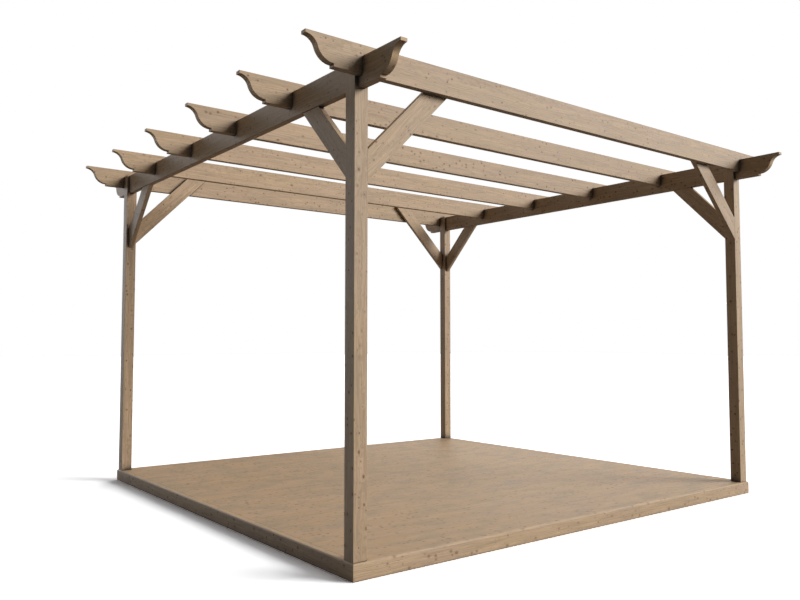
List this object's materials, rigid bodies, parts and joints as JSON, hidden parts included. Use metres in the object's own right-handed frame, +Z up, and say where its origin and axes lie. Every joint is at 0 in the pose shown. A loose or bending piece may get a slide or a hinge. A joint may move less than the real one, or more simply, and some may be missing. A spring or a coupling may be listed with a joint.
{
  "type": "wooden pergola",
  "caption": "Open timber garden pergola on a low boarded deck: slotted posts carry beams and cross-lapped rafters with ogee ends, stiffened by diagonal knee braces.",
  "frame": {"origin": "middle of the deck's underside, on the ground", "axes": "+X right along the rafters, +Y back along the beams, +Z up; the front is -Y"},
  "size_m": [4.204, 4.154, 2.593],
  "materials": {
    "frame_timber": "satin brown stain",
    "deck_timber": "satin brown stain"
  },
  "bodies": {
    "root": {"front_fascia": "deck_timber", "back_fascia": "deck_timber", "left_fascia": "deck_timber", "right_fascia": "deck_timber", "deck_joists": "deck_timber", "deck_boards": "deck_timber", "front_left_post": "frame_timber", "front_right_post": "frame_timber", "back_left_post": "frame_timber", "back_right_post": "frame_timber", "left_beam": "frame_timber", "right_beam": "frame_timber", "front_rafter": "frame_timber", "second_rafter": "frame_timber", "third_rafter": "frame_timber", "fourth_rafter": "frame_timber", "fifth_rafter": "frame_timber", "back_rafter": "frame_timber", "front_left_beam_brace": "frame_timber", "front_right_beam_brace": "frame_timber", "back_left_beam_brace": "frame_timber", "back_right_beam_brace": "frame_timber", "front_left_rafter_brace": "frame_timber", "front_right_rafter_brace": "frame_timber", "back_left_rafter_brace": "frame_timber", "back_right_rafter_brace": "frame_timber"}
  },
  "joints": []
}
